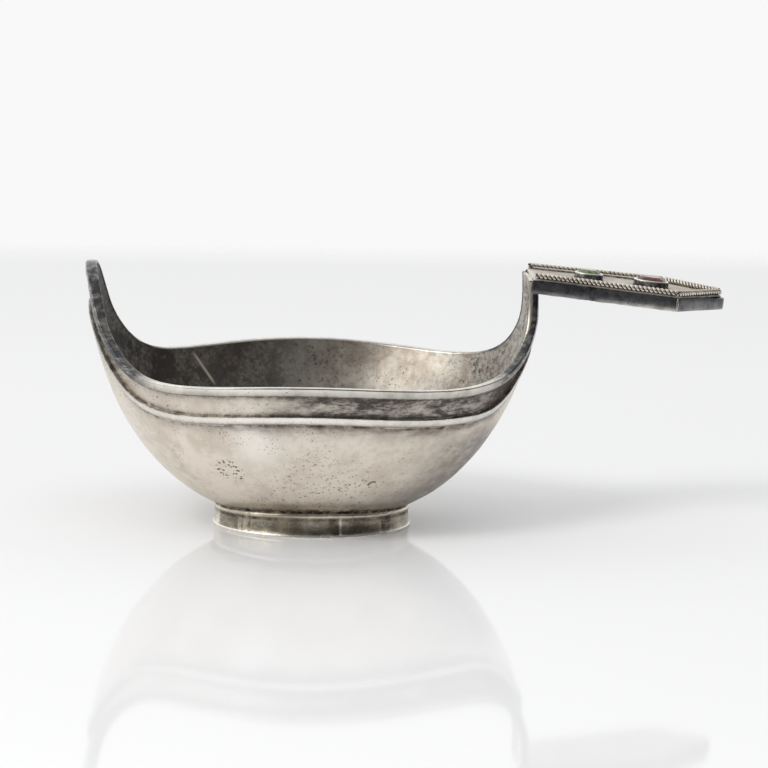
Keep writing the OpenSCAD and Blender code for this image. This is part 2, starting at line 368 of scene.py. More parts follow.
def silver(name, light, deep, tarnish_and_shade, rough, spots, grain=0.012, shade_and_film_tint=(0.11, 0.108, 0.11),
           extra=None, pale=None):
    """Worn silver. The masks on the mesh add to it: the dark mask is dirt, and in places painted shade; the
    tint mask is a grey film, and in places painted shade; the bright mask is rubbed wear, and in places a
    painted highlight.
    """
    n = Nodes(name)
    broad = n.noise(13, 3, 0.6)
    fine = n.noise(2.0, 5, 0.65, offset=(31, 7, 3))
    blend = n.plus(n.times(broad, 0.6), n.times(fine, 0.4))
    colour = n.mix(n.ramp(blend, 0.38, 0.60), deep, light)
    # the tint, a film and painted shade, in streaks along the bowl
    streaks = n.noise(1.5, 6, 0.75, (0.35, 0.35, 1.1), (2, 80, 6))
    film_and_shade = n.times(n.mask("shade_and_film"), n.ramp(streaks, 0.32, 0.66, 0.45, 1.25), clamp=True)
    colour = n.mix(film_and_shade, colour, shade_and_film_tint)
    # pits: small dots gathered in patches
    zone = n.ramp(n.noise(8, 3, 0.7, offset=(5, 50, 9)), 0.48, 0.64)
    dots = n.fall(n.cells(0.8, (3, 11, 5)), 0.12, 0.24)
    crumbs = n.ramp(n.noise(0.55, 3, 0.6, offset=(1, 1, 90)), 0.62, 0.70)
    pits = n.times(n.most(dots, crumbs), n.times(zone, spots), clamp=True)
    dark_breakup = n.ramp(n.noise(1.6, 6, 0.75, offset=(9, 2, 44)), 0.36, 0.64, 0.35, 1.25)
    dark = n.most(pits, n.times(n.mask("dirt_and_shade"), dark_breakup, clamp=True))
    if extra is not None:
        dark = n.most(dark, extra(n))
    colour = n.mix(dark, colour, tarnish_and_shade)
    rub_and_highlight = n.times(n.mask("rub_and_highlight"), n.minus(1.0, n.times(dark, 0.7)), clamp=True)
    colour = n.mix(rub_and_highlight, colour, RUBBED_AND_HIGHLIGHT)
    if pale is not None:
        colour = n.mix(pale(n), colour, SCRATCHED)
    scratches = n.noise(0.5, 2, 0.5, stretch=(0.10, 1.0, 1.6), offset=(3, 3, 3))
    uneven = n.noise(0.32, 3, 0.6)
    height = n.plus(n.times(scratches, 0.5), n.times(uneven, 0.5))
    normal = n.bump(n.minus(height, n.times(pits, 0.6)), grain)
    roughness = n.plus(n.plus(rough - 0.07, n.times(fine, 0.16)), n.times(dark, 0.2), clamp=True)
    metal = n.minus(1.0, n.times(dark, 0.3))
    n.finish(colour, roughness, normal, metal)
    return n.mat


def belly_marks(n):
    """The pitted patches on the near side, the cluster of dots, and the painted shade of a crescent dent."""
    cluster = n.ramp(n.fall(n.away(DOT_CLUSTER), 0.0, 5.0), 0.12, 0.35)
    dots = n.fall(n.cells(0.85, (0.4, 0, 0.2)), 0.22, 0.42)
    fine = n.ramp(n.noise(0.75, 2, 0.5, offset=(8, 8, 1)), 0.60, 0.70)
    pits = n.times(fine, n.fall(n.away(PIT_PATCH), 7.0, 19.0))
    # a dark crescent, painted as the shade of a small dent
    ring = n.math("ABSOLUTE", n.minus(n.away(DENT_MIDDLE), 1.0))
    crescent = n.times(n.fall(ring, 0.15, 0.38), n.fall(n.away(DENT_SIDE), 1.1, 1.5))
    return n.most(n.most(n.times(cluster, dots), n.times(pits, 0.75)), n.times(crescent, 0.85))


def inside_marks(n):
    """Brown and black mottling, darkest in the prow, where the darkness is a painted dark reflection."""
    x = n.along((1, 0, 0))
    z = n.along((0, 0, 1))
    patch = n.ramp(n.noise(7, 5, 0.75, offset=(70, 0, 12)), 0.44, 0.56)
    mottle = n.ramp(n.noise(1.2, 6, 0.8, offset=(4, 60, 2)), 0.40, 0.62)
    clear = n.ramp(n.away(CLEAR_WALL), 8.0, 24.0, 0.25, 1.0)
    broken = n.times(n.times(patch, clear), n.times(mottle, 0.95))
    # painted dark reflection in the prow
    prow = n.times(n.fall(x, -14.0, 18.0), n.ramp(x, -46.0, -22.0, 1.0, 0.9))
    neck = n.times(n.ramp(x, 30.0, 44.0, 0.0, 0.7), n.fall(z, 44.0, 54.0))
    low = n.times(n.ramp(x, 16.0, 34.0, 0.0, 0.5), n.fall(z, 28.0, 35.0))
    film_and_shade = n.most(n.times(prow, 0.97), n.times(neck, n.plus(0.45, n.times(mottle, 0.55))))
    film_and_shade = n.most(film_and_shade, n.times(low, n.plus(0.5, n.times(mottle, 0.5))))
    uneven = n.plus(0.74, n.times(n.most(mottle, patch), 0.26))
    return n.most(broken, n.times(film_and_shade, uneven))


def inside_scratch(n):
    """One pale scratch on the far wall, in an upright plane through its two ends."""
    start, end = Vector(SCRATCH_START), Vector(SCRATCH_END)
    length = (end - start).length
    way = (end - start).normalized()
    across = way.cross(Vector((0, 1, 0))).normalized()
    from_start = n.vec("SUBTRACT", n.mm, tuple(start))
    along = n.vec("DOT_PRODUCT", from_start, tuple(way))
    off = n.math("ABSOLUTE", n.vec("DOT_PRODUCT", from_start, tuple(across)))
    run = n.times(n.ramp(along, -1.5, 1.0), n.fall(along, length - 3, length))
    far = n.ramp(n.along((0, 1, 0)), 10.0, 12.0)
    return n.times(n.times(n.fall(off, 0.12, 0.42, 0.85), run), far)


def gem(name, colour, deep):
    n = Nodes(name)
    veil = n.ramp(n.noise(1.6, 3, 0.6), 0.35, 0.7)
    n.finish(n.mix(veil, deep, colour), 0.10)
    n.bsdf.inputs["IOR"].default_value = 1.52
    n.bsdf.inputs["Specular IOR Level"].default_value = 0.2
    n.bsdf.inputs["Transmission Weight"].default_value = 0.25
    return n.mat


# Places of single marks of wear, and of one painted highlight, in millimetres
DOT_CLUSTER = (-19.3, -29.9, 16.9)
PIT_PATCH = (1.9, -29.4, 11.3)
DENT_MIDDLE = (13.3, -29.8, 14.1)
DENT_SIDE = (12.9, -30.6, 14.9)
PAINTED_HIGHLIGHT_SPOT = (-13.1, -37.0, 23.6)
CLEAR_WALL = (24.0, 38.0, 30.0)
SCRATCH_START = (-28.5, 34.5, 34.9)
SCRATCH_END = (-23.0, 34.0, 27.1)

# Colours: light and deep silver, then tarnish, which also colours the painted shade
# the colour of rubbed wear and of painted highlights
RUBBED_AND_HIGHLIGHT = (0.99, 0.96, 0.90)
SCRATCHED = (0.62, 0.55, 0.46)
SILVER_OUT = silver("silver_outside", (0.87, 0.80, 0.705), (0.70, 0.625, 0.53), (0.09, 0.062, 0.04),
                    0.31, 0.9, grain=0.015, shade_and_film_tint=(0.085, 0.08, 0.075), extra=belly_marks)
SILVER_IN = silver("silver_inside", (0.64, 0.60, 0.53), (0.40, 0.34, 0.28), (0.024, 0.019, 0.018),
                   0.34, 1.0, extra=inside_marks, pale=inside_scratch)
# the rim strips' silver, darker than the rest: partly tarnish, partly painted shade
SILVER_RIM = silver("silver_rim", (0.74, 0.705, 0.64), (0.46, 0.43, 0.38), (0.08, 0.07, 0.06),
                    0.22, 0.8, shade_and_film_tint=(0.085, 0.085, 0.09))
# the lower mouldings' silver, brighter than the rest: a painted reflection
SILVER_MOULD = silver("silver_moulding", (0.90, 0.86, 0.80), (0.66, 0.61, 0.55), (0.08, 0.07, 0.06),
                      0.25, 0.7)
SILVER_FOOT = silver("silver_foot", (0.80, 0.72, 0.57), (0.42, 0.36, 0.27), (0.045, 0.04, 0.035),
                     0.25, 0.8, shade_and_film_tint=(0.10, 0.092, 0.078))
SILVER_PLATE = silver("silver_plate", (0.66, 0.61, 0.54), (0.42, 0.38, 0.33), (0.10, 0.09, 0.08),
                      0.42, 1.0, grain=0.06)
SILVER_ROPE = silver("silver_rope", (0.93, 0.86, 0.76), (0.70, 0.63, 0.54), (0.012, 0.010, 0.009), 0.28, 0.2)
# the side and point strips' silver, painted dark as a dark reflection, with a pale tint for their wear
SILVER_PAINTED_DARK = silver("silver_painted_dark_strip", (0.235, 0.235, 0.25), (0.11, 0.112, 0.122), (0.022, 0.02, 0.02),
                     0.27, 1.2, shade_and_film_tint=(0.66, 0.62, 0.55))
SILVER_BEZEL = silver("silver_bezel", (0.50, 0.48, 0.45), (0.30, 0.29, 0.28), (0.03, 0.03, 0.032), 0.26, 0.3)
GREEN = gem("green_gem", (0.22, 0.28, 0.12), (0.05, 0.085, 0.035))
RED = gem("red_gem", (0.15, 0.018, 0.010), (0.03, 0.004, 0.003))


# ---- Bowl ----
def nearest(u, z, line_u, line_z):
    """Distance in the rim's plane from each point to a polyline."""
    out = np.empty(len(u))
    for k in range(0, len(u), 4000):
        du = u[k:k + 4000, None] - line_u[None]
        dz = z[k:k + 4000, None] - line_z[None]
        out[k:k + 4000] = np.sqrt((du * du + dz * dz).min(axis=1))
    return out


RIM_FINE = rim_line(160, 700)
MOULD_U = np.linspace(0, HALF_U, 900)
MOULD_Z = mould_top(MOULD_U)


def outer_relief(u, z, side):
    """Depth of the hollow between the mouldings, the dirt and painted shade beside them, and the hollow's
    dark tint, which is mostly painted shade.
    """
    d_rim = nearest(u, z, RIM_FINE[:, 0], RIM_FINE[:, 1]) - STRIP_H
    d_top = nearest(u, z, MOULD_U, MOULD_Z)
    slope = np.gradient(MOULD_Z, MOULD_U)
    low_z = MOULD_Z - MOULD_H * np.sqrt(1 + slope ** 2)
    d_low = nearest(u, z, MOULD_U, low_z)
    above = z > np.interp(u, MOULD_U, MOULD_Z)
    below = z < np.interp(u, MOULD_U, low_z)
    wide = np.maximum(d_rim + d_top, 0.01)
    f = unit(d_rim / wide)
    depth = np.where(above & (d_rim > 0), 0.6 * (4 * f * (1 - f)) ** 0.7 * unit(wide / 4), 0)
    spots = np.stack([u, z, 20 * side], -1)
    patch = 0.5 + 0.5 * wobble(spots, 8.0, 4)
    streak = 0.5 + 0.5 * wobble(spots * (0.35, 1, 1), 1.1, 5)
    # dirt under the rim strip, stronger towards the neck as painted shade, and over the lower moulding;
    # behind the neck a painted dark reflection; dirt under the moulding
    right = unit((112 - u) / 22)
    lip = bell(np.maximum(d_rim, 0), 0.45 + 0.5 * patch, 2)
    crevice = bell(d_top, 0.40 + 0.35 * patch, 2)
    behind = 0.92 * unit((34 - u) / 10)
    dirt_and_shade = np.where(above, np.maximum((0.55 + 0.4 * right) * lip + 1.2 * crevice, behind), 0)
    under = bell(d_low, 0.35 + 2.2 * patch ** 2, 1.3) * (0.5 + 1.0 * streak)
    stain = bell(d_low, 0.9 + 2.8 * patch, 2) * (0.45 + 0.5 * streak)
    dirt_and_shade = np.where(below, under, dirt_and_shade)
    # the hollow: painted shade and dark reflection, with some tarnish: dark towards both mouldings, paler
    # along its middle and in the lit part towards the prow
    middle = bell(f - 0.5, 0.2, 2)
    pale = unit((u - 78) / 14) * unit((140 - u) / 12)
    shade_and_film_tint = 1 - middle * (0.25 + 0.65 * streak) * (0.35 + 0.65 * pale)
    shade_and_film_tint = shade_and_film_tint * (1 - 0.85 * pale) * (0.8 + 0.5 * patch)
    shade_and_film_tint = np.where(above & (d_rim > -0.3), unit(shade_and_film_tint), 0)
    # near the neck the hollow is black: a painted dark reflection
    shade_and_film_tint = np.maximum(shade_and_film_tint, np.where(above, 0.95 * unit((36 - u) / 12), 0))
    shade_and_film_tint = np.maximum(shade_and_film_tint, np.where(below, 0.9 * stain * np.clip((112 - u) / 12, 0.35, 1), 0))
    return depth, unit(dirt_and_shade), shade_and_film_tint


def build_bowl():
    line = rim_line(44, 150)
    top_cols = 7
    step = np.arange(top_cols)
    neck = np.stack([NECK_U * step / top_cols, NECK_Z + 0 * step, 0.0 * step, 0.0 * step - 1], -1)
    half = np.concatenate([neck, line])
    count = len(half)
    order = list(range(count)) + list(range(count - 2, 0, -1))
    side = np.array([-1.0] * count + [1.0] * (count - 2))
    cols = len(order)
    u, top = half[order, 0], half[order, 1]
    inward = half[order, 2:4] / np.linalg.norm(half[order, 2:4], axis=1)[:, None]
    rows = 130
    share = (1 - np.arange(rows) / rows) ** 1.75

    def face(low, off, relief):
        uu = np.tile(u, rows)
        zz = (low + (top[None] - RIM_CUT - low) * share[:, None]).ravel()
        ss = np.tile(side, rows)
        rough = on_bowl(uu, zz, off, ss)
        if relief:
            depth, dirt_and_shade, shade_and_film_tint = outer_relief(uu, zz, ss)
            hammer = 0.08 * wobble(rough, 7.0, 1) + 0.035 * wobble(rough, 3.0, 2)
        else:
            depth, dirt_and_shade, shade_and_film_tint = np.zeros((3, uu.size))
            hammer = 0.06 * wobble(rough, 9.0, 3)
        fade = unit(nearest(uu, zz, RIM_FINE[:, 0], RIM_FINE[:, 1]) / 2)
        return on_bowl(uu, zz, off - depth + hammer * fade, ss), dirt_and_shade, shade_and_film_tint

    outer, dirt_and_shade_out, shade_and_film_out = face(BOWL_Z0 + 0.02, 0.0, True)
    inner = face(BOWL_Z0 + SHEET + 0.02, -SHEET, False)[0]
    # painted shade, a dark reflection, low on the belly towards the handle's end, and dirt where the foot
    # meets the bowl
    foot_gap = np.hypot(outer[:, 0], outer[:, 1]) - FOOT_R
    share_x = outer[:, 0] / half_len_at(outer[:, 2], 0.0)
    low_wall = unit((MOULD_Z.min() - MOULD_H - outer[:, 2]) / 5)
    shade_and_film_out = np.maximum(shade_and_film_out, 0.62 * unit((share_x - 0.55) / 0.4) * low_wall)
    dirt_and_shade_out = np.maximum(dirt_and_shade_out, np.where(outer[:, 2] < 9, bell(np.maximum(foot_gap, 0), 0.9, 1.3), 0))
    # the rim: two rings between the faces, to round the sheet's edge
    edge_u, edge_z = u - 0.056 * inward[:, 0], top - RIM_CUT + 0.12 - 0.056 * inward[:, 1]
    edge = [on_bowl(edge_u, edge_z, off, side) for off in (-0.12, -SHEET + 0.12)]
    points = np.concatenate([outer, inner, *edge, [[0, 0, BOWL_Z0]], [[0, 0, BOWL_Z0 + SHEET]]])
    base = rows * cols
    faces = grid_faces(rows, cols, wrap=True)
    faces_in = grid_faces(rows, cols, base, wrap=True, flip=True)
    last = (rows - 1) * cols
    e0, e1, pole = 2 * base, 2 * base + cols, 2 * base + 2 * cols
    rims = []
    for i in range(cols):
        k = (i + 1) % cols
        rims.append((i, e0 + i, e0 + k, k))
        rims.append((e0 + i, e1 + i, e1 + k, e0 + k))
        rims.append((e1 + i, base + i, base + k, e1 + k))
        faces.append((last + i, last + k, pole))
        faces_in.append((base + last + k, base + last + i, pole + 1))
    every = faces + rims + faces_in
    slots = [0] * (len(faces) + len(rims)) + [1] * len(faces_in)
    turned = outward(points, every)
    blank = np.zeros(base + 2 * cols + 2)
    # a painted highlight on the near side of the belly
    painted_highlight = 0.75 * bell(np.linalg.norm(outer - PAINTED_HIGHLIGHT_SPOT, axis=1), 5.5, 2)
    masks = {"dirt_and_shade": dirt_and_shade_out, "shade_and_film": shade_and_film_out, "rub_and_highlight": painted_highlight}
    masks = {key: np.concatenate([value, blank]) for key, value in masks.items()}
    add_mesh("bowl_sheet", points, turned, [SILVER_OUT, SILVER_IN], "bowl", masks, 50, slots)


# ---- Mouldings ----
def build_moulding(name, side, upper):
    if upper:
        h, t = section("rim")
        line = rim_line(110, 420)
        a, way = line[:, :2], line[:, 2:4]
        prow = np.where(a[:, 0] > HALF_U / 2, bell(prow_y(a[:, 0]), 13.6, 1.6), 0)
        stretch = 1 + 0.3 * prow
        slot, mat, tall = "silver_rim", SILVER_RIM, STRIP_H
        # the edge that climbs the prow and the neck is painted dark, a painted dark reflection; the level
        # sides get a painted highlight
        climb = a[:, 1] - RIM_Z - swell(a[:, 0])
        shade_and_film = unit((climb - 0.3) / 1.5)
        painted_highlight = np.clip(1 - np.abs(a[:, 0] - 95) / 26, 0.1, 1) * (climb < 1.5)
    else:
        h, t = section("low")
        u = np.linspace(0, HALF_U, 520)
        slope = np.gradient(mould_top(u), u)
        a = np.stack([u, mould_top(u)], -1)
        way = np.stack([0 * u, -np.sqrt(1 + slope ** 2)], -1)
        stretch = 1 - 0.4 * bell(u, 18.0, 3.0)
        slot, mat, tall = "silver_moulding", SILVER_MOULD, MOULD_H
        # painted dark reflection where the moulding rises, and a painted highlight on its level front
        shade_and_film = 0.5 * unit((a[:, 1] - 35) / 6)
        painted_highlight = np.clip(1.2 - np.abs(a[:, 0] - 92) / 32, 0.2, 1)
    along = np.linspace(0, 1, len(a))
    seed = 7.0 if upper else 2.0
    worn = wander(along * 40, side * 3.0, seed)
    out = np.where(t[None] > 0.1, t[None] * (stretch * (1 + 0.06 * worn))[:, None], t[None])
    uv = a[:, None] + way[:, None] * h[None, :, None]
    rings = on_bowl(uv[..., 0], uv[..., 1], out, side)
    points, faces = sweep(rings)
    # dirt along the edges that touch the bowl
    if upper:
        seat = bell(tall - h, 0.28, 2)
    else:
        seat = bell(h, 0.22, 2) + bell(tall - h, 0.2, 2)
    blotch = wander(along * 55, side * 5.0, seed + 4)
    dirt_and_shade = unit(seat[None] * (0.75 + 0.5 * blotch[:, None]))
    # painted shade on the lower part of each band, and a painted highlight on its upper part
    dark = np.maximum(shade_and_film[:, None], 0.4 * unit((h / tall - 0.62) / 0.3)[None])
    light = (0.9 * painted_highlight * (1 - shade_and_film))[:, None] * bell(h / tall - 0.36, 0.3, 2)[None]
    masks = {"dirt_and_shade": dirt_and_shade.ravel(), "shade_and_film": dark.ravel(), "rub_and_highlight": light.ravel()}
    add_mesh(name, points, faces, [mat], name.replace("_piece", ""), masks, 50)


# ---- Foot ring ----
def bowl_height_at(x, y):
    """Height of the bowl's outer face above a point of the plan."""
    lo, hi = np.full(x.shape, BOWL_Z0), np.full(x.shape, 12.0)
    t = np.arctan2(np.abs(y) / WIDTH_RATIO, x)
    for _ in range(40):
        mid = (lo + hi) / 2
        p = on_bowl(t * ARC_R, mid, 0.0, 1)
        inside = np.hypot(p[..., 0], p[..., 1]) > np.hypot(x, y)
        hi = np.where(inside, mid, hi)
        lo = np.where(inside, lo, mid)
    return (lo + hi) / 2


def build_foot():
    cols = 480
    angle = np.linspace(0, 2 * math.pi, cols, endpoint=False)

    def off_angle(at):
        return np.abs((angle - at + math.pi) % (2 * math.pi) - math.pi)

    # the strip was planished flat in patches: shallow flats of uneven width
    cuts = np.sort(rng.uniform(0, 2 * math.pi, 26))
    gap = np.min([off_angle(c) for c in cuts], axis=0)
    flats = 0.14 * bell(gap, 0.03, 2) - 0.07
    # each flat gets its own tone: patina, and the painted sheen of a flat that catches the light
    patina_and_sheen = rng.uniform(-0.5, 0.5, len(cuts) + 1)[np.searchsorted(cuts, angle)]
    seam = bell(off_angle(math.radians(-130)), 0.018, 2)
    # share of the height, and how far each level stands out from the plain cone
    levels = [(0.0, -0.12), (0.03, 0.02), (0.07, 0.06), (0.11, 0.02), (0.15, -0.12), (0.22, -0.22),
              (0.32, -0.28), (0.45, -0.3), (0.58, -0.28), (0.68, -0.2), (0.74, -0.1), (0.79, 0.05),
              (0.84, 0.1), (0.89, 0.04), (0.93, -0.12), (1.0, -0.2)]
    base_r = FOOT_R - FOOT_FLARE
    top = bowl_height_at(base_r * np.cos(angle), base_r * np.sin(angle)) + 0.05
    turns = np.stack([np.cos(angle), np.sin(angle)], -1)
    wave = wobble(np.c_[turns * 23, 0 * angle], 5.0, 8)
    tint = wobble(np.c_[turns * 23, 0 * angle + 9], 3.2, 9)
    # painted shade: the foot darker towards the right
    shade_towards_right = unit(0.5 + 0.5 * np.cos(angle + 0.6)) ** 2
    rings, dirt_and_shade, shade_and_film, rub_and_highlight = [], [], [], []
    for s, out in levels:
        body = 4 * s * (1 - s)
        r = FOOT_R - FOOT_FLARE * s + out - (flats + 0.2 * seam) * min(1, body) + 0.05 * wave * (s > 0.6)
        rings.append(np.c_[r[:, None] * turns, s * top])
        ledge = bell(s - 0.69, 0.07, 2)
        crack = 1.0 if s > 0.91 else 0.0
        dirt_and_shade.append(unit(ledge * (0.75 + 0.6 * tint) + crack + 0.8 * seam * min(1, body)))
        # painted shade towards the right, with random tone and a tone for each flat
        shade_and_film.append((0.12 < s < 0.75) * unit(0.18 + 0.5 * shade_towards_right + 0.3 * tint + 1.2 * patina_and_sheen))
        # the bead and some flats lighter: rubbed wear and painted highlights
        bead = 0.3 * unit(0.5 + tint) * (0.78 < s < 0.87)
        facet = 0.75 * unit(-2.2 * patina_and_sheen - 0.25) * (0.12 < s < 0.7)
        rub_and_highlight.append(np.full(cols, 0.9) if s < 0.12 else bead + facet)
    in_r = FOOT_R - FOOT_T
    in_base_r = in_r - FOOT_FLARE
    in_top = bowl_height_at(in_base_r * np.cos(angle), in_base_r * np.sin(angle)) + 0.05
    for s in (1.0, 0.6, 0.2, 0.0):
        rings.append(np.c_[(in_r - FOOT_FLARE * s) * turns, s * in_top])
        dirt_and_shade.append(np.full(cols, 0.6))
        shade_and_film.append(np.full(cols, 0.3))
        rub_and_highlight.append(np.zeros(cols))
    rings = np.array(rings)
    rows = len(rings)
    last = (rows - 1) * cols
    faces = grid_faces(rows, cols, wrap=True)
    faces += [(i, last + i, last + (i + 1) % cols, (i + 1) % cols) for i in range(cols)]
    points = rings.reshape(-1, 3)
    faces = outward(points, faces)
    masks = {"dirt_and_shade": np.concatenate(dirt_and_shade), "shade_and_film": np.concatenate(shade_and_film), "rub_and_highlight": np.concatenate(rub_and_highlight)}
    add_mesh("foot_ring_strip", points, faces, [SILVER_FOOT], "foot_ring", masks, 50)


# ---- Handle: s runs from the neck to the point, w across, h up from the top sheet ----
def on_handle(s, w, h):
    s, w, h = np.broadcast_arrays(*(np.asarray(v, float) for v in (s, w, h)))
    # the point is bent up a little
    h = h + np.maximum(s - STRAIGHT, 0) * math.tan(math.radians(POINT_BEND))
    c, d = math.cos(math.radians(TILT)), math.sin(math.radians(TILT))
    return np.stack([HANDLE_X + s * c + h * d, w, HANDLE_Z - s * d + h * c], axis=-1)


def handle_sweep(rings):
    """A bar on the handle from rings of (s, w, h)."""
    return sweep(on_handle(rings[..., 0], rings[..., 1], rings[..., 2]))


def half_width(s, inset=0.0):
    s = np.asarray(s, float)
    straight = ROOT_W + (SHOULDER_W - ROOT_W) * s / STRAIGHT
    point = SHOULDER_W + (TIP_W - SHOULDER_W) * (s - STRAIGHT) / POINT
    return np.where(s <= STRAIGHT, straight, point) - inset


def build_sheet(name, node, s0, s1, inset, h0, h1, rough, lap=0.0):
    """A flat sheet of the handle; lap turns its root end down over the neck."""
    spans = ((s0, s0 + 0.5, 5), (s0 + 0.5, STRAIGHT, 46), (STRAIGHT, s1, 22))
    stops = np.unique(np.concatenate([np.linspace(*span) for span in spans]))
    count = 41
    across = np.linspace(-1, 1, count)
    bevel = 0.1
    rings = []
    for s in stops:
        hw = max(float(half_width(s, inset)), 0.25)
        w_top = across * (hw - bevel)
        near_end = max(0.0, 1 - (s - s0) / 0.3)
        drop = bevel * near_end ** 2 + 0.25 * max(0.0, 1 - (s1 - s) / 0.4) ** 2
        turned = lap * (1 - unit((s - s0 - 0.35) / 0.3))
        low_h = np.where(np.abs(w_top) < hw - PLATE_T - 0.15, h0 - turned, h0)
        upper = np.c_[np.full(count, s), w_top, np.full(count, h1 - drop)]
        lower = np.c_[np.full(count, s), w_top[::-1], low_h[::-1]]
        edge_a = np.array([[s, hw, h1 - bevel - drop], [s, hw, h0 + bevel * 0.5]])
        edge_b = np.array([[s, -hw, h0 + bevel * 0.5], [s, -hw, h1 - bevel - drop]])
        rings.append(np.concatenate([upper, edge_a, lower, edge_b]))
    rings = np.array(rings)
    flat = rings.reshape(-1, 3)
    grains = wobble(flat, 6.0, 11) + 0.7 * wobble(flat, 1.2, 12) * np.clip((flat[:, 0] - 26) / 10, 0.25, 1)
    rings[..., 2] += rough * grains.reshape(rings.shape[:2])
    points, faces = handle_sweep(rings)
    border = bell(half_width(flat[:, 0]) - np.abs(flat[:, 1]) - 1.9, 0.8, 2)
    cups = np.zeros(len(flat))
    for s, r in ((GREEN_S, GREEN_R), (RED_S, RED_R)):
        cups = np.maximum(cups, bell(np.hypot(flat[:, 0] - s, flat[:, 1]) - r, 0.8, 2))
    edge = np.where(np.abs(flat[:, 1]) > half_width(flat[:, 0]) - 0.2, 0.6, 0) * (flat[:, 0] > 1)
    dirt_and_shade = unit(0.8 * border + 0.9 * cups + edge)
    rub_and_highlight = 0.55 * bell(flat[:, 0], 0.9, 2)
    add_mesh(name, points, faces, [SILVER_PLATE], node, {"dirt_and_shade": dirt_and_shade, "rub_and_highlight": rub_and_highlight})


def strip_rings(path, inside, h0, h1, round_start, round_end):
    """A strip on edge along path (s, w); inside points to the handle's middle; h0 and h1 may vary."""
    path = np.asarray(path, float)
    run = np.concatenate([[0], np.cumsum(np.linalg.norm(np.diff(path, axis=0), axis=1))])
    total = run[-1]
    h0 = np.broadcast_to(h0, len(path))
    h1 = np.broadcast_to(h1, len(path))
    # b rounds the strip's edges
    b = 0.16
    rings = []
    for k, p in enumerate(path):
        pull = 0.0
        for reach, left in ((round_start, run[k]), (round_end, total - run[k])):
            if left < reach:
                pull = 1 - math.sqrt(max(0, 1 - (1 - left / reach) ** 2))
        lo, hi = h0[k], h1[k]
        third = (hi - lo) / 3
        # the outer face bulges very slightly
        prof = [(0.05, lo + b), (0.0, lo + third), (0.0, hi - third), (0.04, hi - b),
                (b * 0.5, hi - b * 0.3), (b, hi), (PLATE_T - b, hi), (PLATE_T, hi - b),
                (PLATE_T, lo + b), (PLATE_T - b, lo), (b, lo), (b * 0.5, lo + b * 0.3)]
        mid = (lo + hi) / 2
        ring = []
        for t, h in prof:
            hh = mid + (h - mid) * (1 - 0.3 * pull)
            tt = t * (1 - 0.5 * pull) + 0.25 * pull * PLATE_T
            ring.append([p[0] + inside[k][0] * tt, p[1] + inside[k][1] * tt, hh])
        rings.append(ring)
    return np.array(rings)


def strip_masks(rings, seed):
    """Grime under the border and in blotches, pale wear along the lower edge, and a painted highlight on the
    bottom edge.
    """
    flat = rings.reshape(-1, 3)
    h = flat[:, 2]
    blotch = 0.5 + 0.5 * wobble(flat, 5.0, seed)
    fine = 0.5 + 0.5 * wobble(flat * (0.6, 1, 1), 0.9, seed + 1)
    dirt_and_shade = bell(h + TOP_T, 0.3, 2) * 0.8 + np.clip((blotch - 0.62) * 3, 0, 0.8)
    low = unit((-TOP_T - 0.5 * SIDE_H - h) / (0.5 * SIDE_H))
    towards = unit((flat[:, 0] - 8) / 20) * np.where(flat[:, 0] > STRAIGHT, 0.3, 1)
    # pale wear, and a painted highlight on the bottom edge
    worn = low * towards * (0.25 + 0.9 * fine) + bell(h + TOP_T + SIDE_H, 0.2, 2) * 0.45
    return {"dirt_and_shade": unit(dirt_and_shade), "shade_and_film": unit(worn)}


def build_side_strip(side):
    end = STRAIGHT - 0.06
    spans = ((-0.5, 0.5, 14), (0.5, end - 0.6, 60), (end - 0.6, end, 8))
    s = np.unique(np.concatenate([np.linspace(*span) for span in spans]))
    path = np.c_[s, side * half_width(np.maximum(s, 0))]
    inside = np.tile([0.0, -side], (len(s), 1))
    low = -TOP_T - SIDE_H + 0.10 * wander(s * 0.35, side, 1.0) + 0.06 * unit(1 - s / 20)
    rings = strip_rings(path, inside, low, -TOP_T, 0.75, 0.3)
    points, faces = handle_sweep(rings)
    masks = strip_masks(rings, 20 + side)
    # the bead of solder that joins it to the point strip, upright at the shoulder
    turn = np.linspace(0, 2 * math.pi, 12, endpoint=False)
    heights = np.linspace(-TOP_T - SIDE_H + 0.02, -TOP_T - 0.05, 14)
    uneven = wander(heights * 1.4, side, 6.0)
    mid_s, mid_w = STRAIGHT + 0.02, side * (SHOULDER_W - 0.2)
    bead = []
    for k, h in enumerate(heights):
        size = 0.3 * (1 - 0.75 * (abs(k - 6.5) / 6.5) ** 4) * (1 + 0.25 * uneven[k])
        bead.append(np.c_[mid_s + size * np.cos(turn), mid_w + size * np.sin(turn), np.full(12, h)])
    bead_points, bead_faces = handle_sweep(np.array(bead))
    slots = [0] * len(faces) + [1] * len(bead_faces)
    points, faces = joined([(points, faces), (bead_points, bead_faces)])
    blank = np.zeros(len(bead_points))
    masks = {key: np.concatenate([value, blank]) for key, value in masks.items()}
    name = "side_strip_near" if side < 0 else "side_strip_far"
    looks = [SILVER_PAINTED_DARK, SILVER_RIM]
    add_mesh(name + "_piece", points, faces, looks, name, masks, 40, slots)


